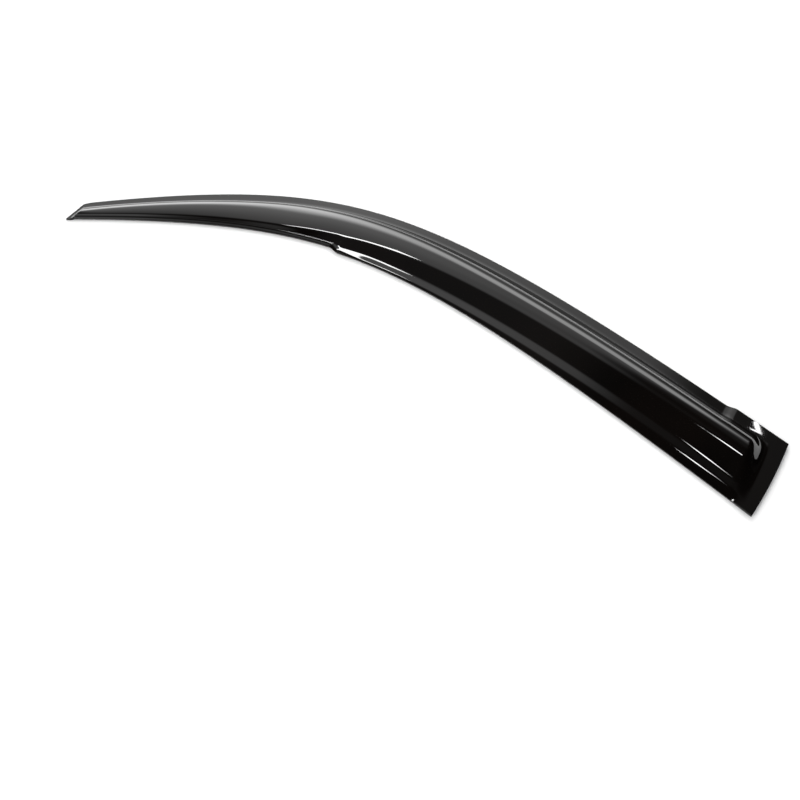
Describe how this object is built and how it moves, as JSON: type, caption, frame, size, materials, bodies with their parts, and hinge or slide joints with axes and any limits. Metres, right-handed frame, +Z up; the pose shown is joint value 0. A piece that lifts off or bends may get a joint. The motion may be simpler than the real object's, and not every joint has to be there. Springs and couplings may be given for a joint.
{
  "type": "window rain deflector",
  "caption": "Curved smoked acrylic rain deflector for a front car side window, with a flat bonding flange, a convex outer face, closed ends and a flared lip along its free edge.",
  "frame": {"origin": "middle of the surface that the deflector lies on, outer side up", "axes": "+X along the chord from the windscreen pillar tip to the rear end, +Y from the free edge to the bonding flange, +Z up through the outer face"},
  "size_m": [0.9561, 0.227, 0.0202],
  "materials": {
    "smoked_acrylic": "polished, dark smoked tint"
  },
  "bodies": {
    "root": {"deflector_shell": "smoked_acrylic"}
  },
  "joints": []
}
